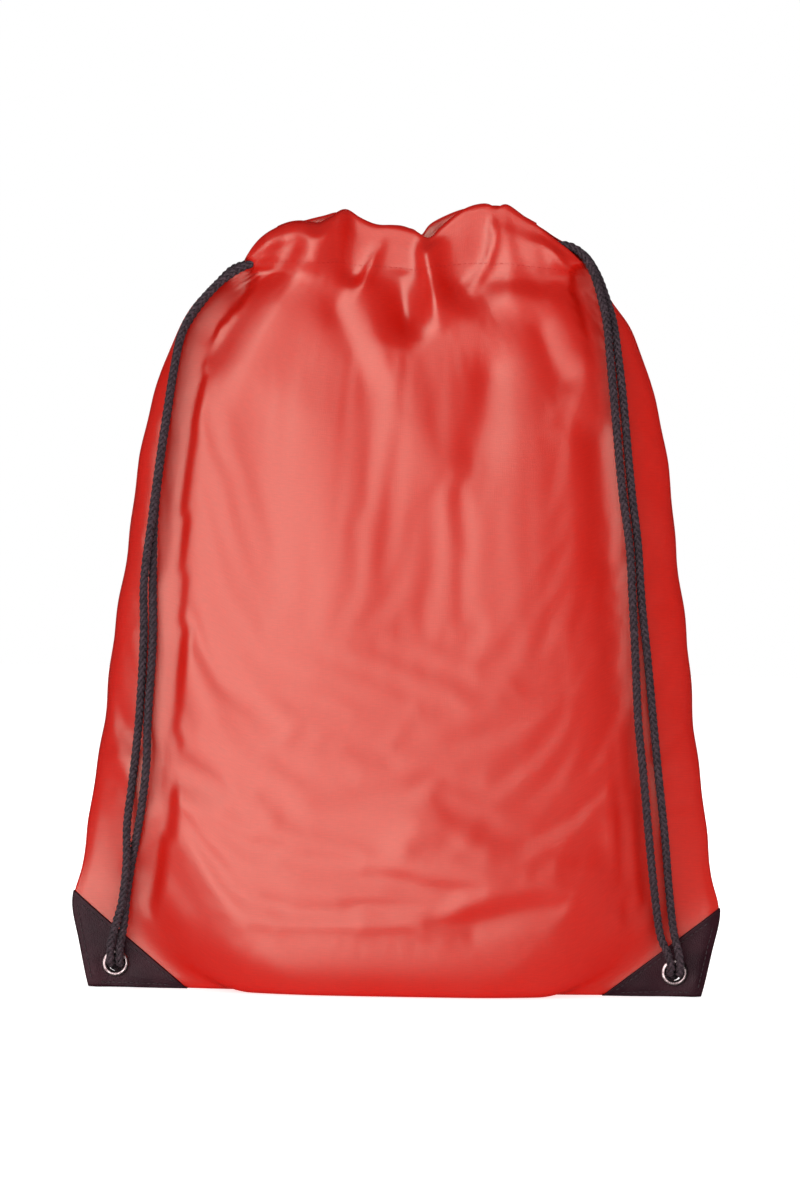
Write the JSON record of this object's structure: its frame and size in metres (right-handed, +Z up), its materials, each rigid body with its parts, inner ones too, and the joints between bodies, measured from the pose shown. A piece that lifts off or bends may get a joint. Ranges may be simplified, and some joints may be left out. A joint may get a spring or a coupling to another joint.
{
  "type": "drawstring backpack",
  "caption": "Drawstring backpack of thin red fabric with gathered cord channels, two looped cords, and dark corner patches with eyelets.",
  "frame": {"origin": "on the floor, under the middle of the base of the standing bag", "axes": "+Z up along the bag's height, -Y out of the front (cord) side, +X to the right seen from the front"},
  "size_m": [0.3368, 0.0854, 0.4127],
  "materials": {
    "panel_fabric": "satin plain-weave polyester",
    "seam_allowance": "overlocked fabric edge",
    "leatherette": "semi-gloss coated leatherette",
    "eyelet_metal": "nickel-plated, lightly worn",
    "cord_yarn": "braided polyester cord"
  },
  "bodies": {
    "bag": {"front_panel": "panel_fabric", "back_panel": "panel_fabric", "left_side_seam": "seam_allowance", "right_side_seam": "seam_allowance", "bottom_seam": "seam_allowance", "left_corner_patch_front": "leatherette", "left_corner_patch_back": "leatherette", "right_corner_patch_front": "leatherette", "right_corner_patch_back": "leatherette", "left_eyelet": "eyelet_metal", "left_eyelet_washer": "eyelet_metal", "right_eyelet": "eyelet_metal", "right_eyelet_washer": "eyelet_metal", "left_cord_knot": "cord_yarn", "right_cord_knot": "cord_yarn", "left_cord_front_strand": "cord_yarn", "left_cord_back_strand": "cord_yarn", "left_cord_turn": "cord_yarn", "right_cord_front_strand": "cord_yarn", "right_cord_back_strand": "cord_yarn", "right_cord_turn": "cord_yarn"},
    "front_lip": {"front_hem_channel": "panel_fabric", "left_cord_front_run": "cord_yarn", "right_cord_front_run": "cord_yarn"},
    "back_lip": {"back_hem_channel": "panel_fabric", "left_cord_back_run": "cord_yarn", "right_cord_back_run": "cord_yarn"}
  },
  "joints": [
    {"name": "front_lip_open", "type": "hinge", "parent": "bag", "child": "front_lip", "pos_m": [0, -0.00975, 0.3735], "axis": [1, 0, 0], "range_deg": [0, 20]},
    {"name": "back_lip_open", "type": "hinge", "parent": "bag", "child": "back_lip", "pos_m": [0, 0.00975, 0.3735], "axis": [-1, 0, 0], "range_deg": [0, 20]}
  ]
}
